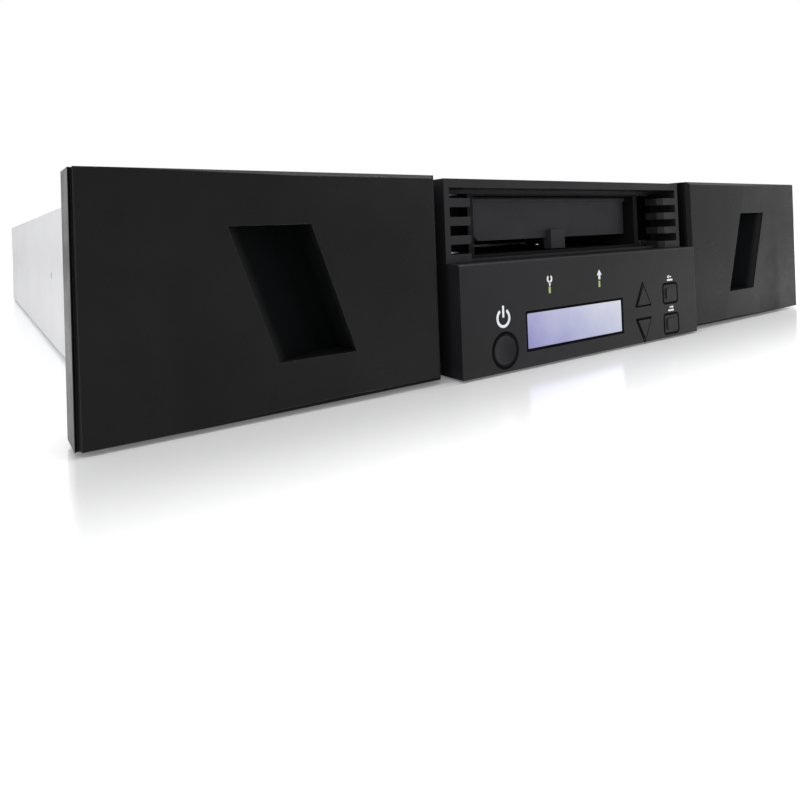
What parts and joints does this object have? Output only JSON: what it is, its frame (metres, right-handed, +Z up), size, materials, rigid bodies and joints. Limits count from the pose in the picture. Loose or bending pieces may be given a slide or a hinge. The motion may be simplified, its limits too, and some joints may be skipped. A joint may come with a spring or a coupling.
{
  "type": "data tape library",
  "caption": "Rack-mount tape library with slide-out cartridge magazines, a sprung mail-slot door, a key panel with a lit display, and a turntable picker feeding a tape drive.",
  "frame": {"origin": "middle of the base tray's underside", "axes": "+X to the right as seen from the front, +Y towards the rear, +Z up"},
  "size_m": [0.4826, 0.628, 0.088],
  "materials": {
    "light_sheet": "satin light grey powder coat",
    "cover_sheet": "satin light grey powder coat",
    "front_plastic": "fine-grained satin black",
    "frame_plastic": "satin black",
    "control_plastic": "satin charcoal",
    "throat_plastic": "matt black",
    "door_plastic": "matt dark grey",
    "window_clear": "clear",
    "display_lit": "lit, lavender white",
    "board_green": "solder mask",
    "light_pipe": "clear, lit yellow green",
    "key_plastic": "satin black",
    "cap_plastic": "satin charcoal",
    "tray_plastic": "matt dark grey",
    "cartridge_plastic": "fine-grained dark grey",
    "carrier_plastic": "matt grey",
    "belt_rubber": "matt black",
    "pulley_plastic": "natural acetal",
    "rail_plastic": "matt",
    "screw_steel": "zinc plated",
    "motor_case": "satin",
    "table_metal": "brushed",
    "carriage_plastic": "matt dark grey",
    "drive_case": "satin grey",
    "supply_case": "zinc plated",
    "brass": "plain",
    "inlet_plastic": "black",
    "fan_plastic": "matt black"
  },
  "bodies": {
    "chassis": {"base_tray": "light_sheet", "top_cover": "cover_sheet", "rear_panel": "light_sheet", "front_bulkhead": "light_sheet", "rack_ears": "light_sheet", "bay_dividers": "light_sheet", "magazine_rails": "rail_plastic", "cover_screws": "screw_steel", "ear_screws": "screw_steel", "centre_frame": "frame_plastic", "throat_liner": "throat_plastic", "control_fascia": "control_plastic", "display_window": "window_clear", "display_module": "display_lit", "control_board": "board_green", "status_light_pipes": "light_pipe", "magazine_motors": "motor_case", "picker_base": "light_sheet", "picker_motor": "motor_case", "tape_drive": "drive_case", "drive_sled": "light_sheet", "controller_board": "board_green", "board_standoffs": "brass", "power_supply": "supply_case", "power_inlet": "inlet_plastic", "inlet_pins": "brass", "switch_housing": "inlet_plastic", "fan_frame": "fan_plastic"},
    "left_magazine": {"left_panel": "front_plastic", "left_tray": "tray_plastic", "left_cartridges": "cartridge_plastic", "left_carriers": "carrier_plastic", "left_belts": "belt_rubber"},
    "right_magazine": {"right_panel": "front_plastic", "right_tray": "tray_plastic", "right_cartridges": "cartridge_plastic", "right_carriers": "carrier_plastic", "right_belts": "belt_rubber"},
    "left_front_pulley_pair": {"left_front_pulleys": "pulley_plastic"},
    "left_rear_pulley_pair": {"left_rear_pulleys": "pulley_plastic"},
    "right_front_pulley_pair": {"right_front_pulleys": "pulley_plastic"},
    "right_rear_pulley_pair": {"right_rear_pulleys": "pulley_plastic"},
    "door": {"mail_door": "door_plastic"},
    "power_key": {"power_button": "key_plastic"},
    "up_key": {"up_button": "key_plastic"},
    "down_key": {"down_button": "key_plastic"},
    "enter_key": {"enter_button": "cap_plastic"},
    "escape_key": {"escape_button": "cap_plastic"},
    "turntable": {"picker_turntable": "table_metal"},
    "carriage": {"picker_carriage": "carriage_plastic"},
    "fan": {"fan_rotor": "fan_plastic"},
    "rocker": {"power_rocker": "inlet_plastic"}
  },
  "joints": [
    {"name": "left_magazine_slide", "type": "slide", "parent": "chassis", "child": "left_magazine", "axis": [0, -1, 0], "range_m": [0, 0.5]},
    {"name": "right_magazine_slide", "type": "slide", "parent": "chassis", "child": "right_magazine", "axis": [0, -1, 0], "range_m": [0, 0.5]},
    {"name": "left_rear_pulley_spin", "type": "hinge", "parent": "left_magazine", "child": "left_rear_pulley_pair", "pos_m": [-0.1613, 0.14087, 0.0295], "axis": [1, 0, 0], "continuous": true},
    {"name": "left_front_pulley_spin", "type": "hinge", "parent": "left_magazine", "child": "left_front_pulley_pair", "pos_m": [-0.1613, -0.21887, 0.0295], "axis": [1, 0, 0], "continuous": true},
    {"name": "right_rear_pulley_spin", "type": "hinge", "parent": "right_magazine", "child": "right_rear_pulley_pair", "pos_m": [0.1613, 0.14087, 0.0295], "axis": [1, 0, 0], "continuous": true},
    {"name": "right_front_pulley_spin", "type": "hinge", "parent": "right_magazine", "child": "right_front_pulley_pair", "pos_m": [0.1613, -0.21887, 0.0295], "axis": [1, 0, 0], "continuous": true},
    {"name": "mail_door_hinge", "type": "hinge", "parent": "chassis", "child": "door", "pos_m": [0, -0.299, 0.0786], "axis": [1, 0, 0], "range_deg": [0, 80], "stiffness_Nm_per_rad": 0.002, "springref_deg": -11.46},
    {"name": "power_press", "type": "slide", "parent": "chassis", "child": "power_key", "axis": [0, 1, 0], "range_m": [0, 0.001], "stiffness_N_per_m": 600, "springref_m": -0.0008},
    {"name": "up_press", "type": "slide", "parent": "chassis", "child": "up_key", "axis": [0, 1, 0], "range_m": [0, 0.001], "stiffness_N_per_m": 600, "springref_m": -0.0008},
    {"name": "down_press", "type": "slide", "parent": "chassis", "child": "down_key", "axis": [0, 1, 0], "range_m": [0, 0.001], "stiffness_N_per_m": 600, "springref_m": -0.0008},
    {"name": "enter_press", "type": "slide", "parent": "chassis", "child": "enter_key", "axis": [0, 1, 0], "range_m": [0, 0.001], "stiffness_N_per_m": 600, "springref_m": -0.0008},
    {"name": "escape_press", "type": "slide", "parent": "chassis", "child": "escape_key", "axis": [0, 1, 0], "range_m": [0, 0.001], "stiffness_N_per_m": 600, "springref_m": -0.0008},
    {"name": "picker_turn", "type": "hinge", "parent": "chassis", "child": "turntable", "pos_m": [0, -0.166, 0.043], "axis": [0, 0, 1], "range_deg": [-90, 180]},
    {"name": "carriage_reach", "type": "slide", "parent": "turntable", "child": "carriage", "axis": [0, -1, 0], "range_m": [0, 0.09]},
    {"name": "fan_spin", "type": "hinge", "parent": "chassis", "child": "fan", "pos_m": [0.055, 0.2868, 0.051], "axis": [0, 1, 0], "continuous": true},
    {"name": "power_rocker_tip", "type": "hinge", "parent": "chassis", "child": "rocker", "pos_m": [-0.034, 0.297, 0.044], "axis": [1, 0, 0], "range_deg": [-16, 0]}
  ],
  "couplings": [
    {"joint": "left_front_pulley_spin", "follows": "left_rear_pulley_spin", "ratio": 1},
    {"joint": "right_front_pulley_spin", "follows": "right_rear_pulley_spin", "ratio": 1}
  ]
}
